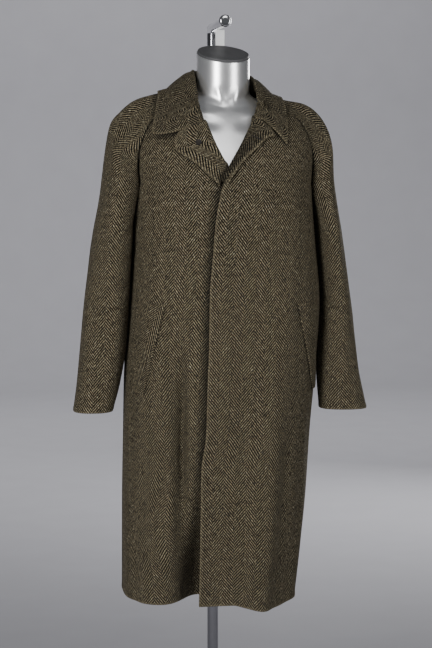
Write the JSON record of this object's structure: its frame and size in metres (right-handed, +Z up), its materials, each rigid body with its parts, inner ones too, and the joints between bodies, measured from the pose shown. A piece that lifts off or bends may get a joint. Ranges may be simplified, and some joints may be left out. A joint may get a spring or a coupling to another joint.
{
  "type": "tweed overcoat on a torso form and stand",
  "caption": "Long herringbone tweed overcoat with raglan sleeves, fly front and slanted welt pockets, worn by a limbless torso form that hangs from a pole stand.",
  "frame": {"origin": "centre of the base plate's underside, on the floor", "axes": "+Z up, the coat's front faces -Y, the wearer's left side is towards +X"},
  "size_m": [0.652, 0.42, 1.6995],
  "materials": {
    "tweed": "napped herringbone wool tweed in brown, tan and black",
    "horn": "dark brown, half gloss",
    "silver_form": "silver lacquer, satin",
    "dark_cap": "dark grey, matt",
    "white_bar": "white enamel",
    "chrome": "polished",
    "steel": "brushed"
  },
  "bodies": {
    "root": {"front_right": "tweed", "front_left": "tweed", "back": "tweed", "sleeve_right_front": "tweed", "sleeve_right_back": "tweed", "sleeve_left_front": "tweed", "sleeve_left_back": "tweed", "collar": "tweed", "lapel_right": "tweed", "lapel_left": "tweed", "pocket_right": "tweed", "pocket_left": "tweed", "lapel_button": "horn", "form": "silver_form", "neck_cap": "dark_cap", "hanger_bar": "white_bar", "pole": "chrome", "arm": "chrome", "arm_knob": "chrome", "pole_socket": "steel", "base_plate": "steel"}
  },
  "joints": []
}
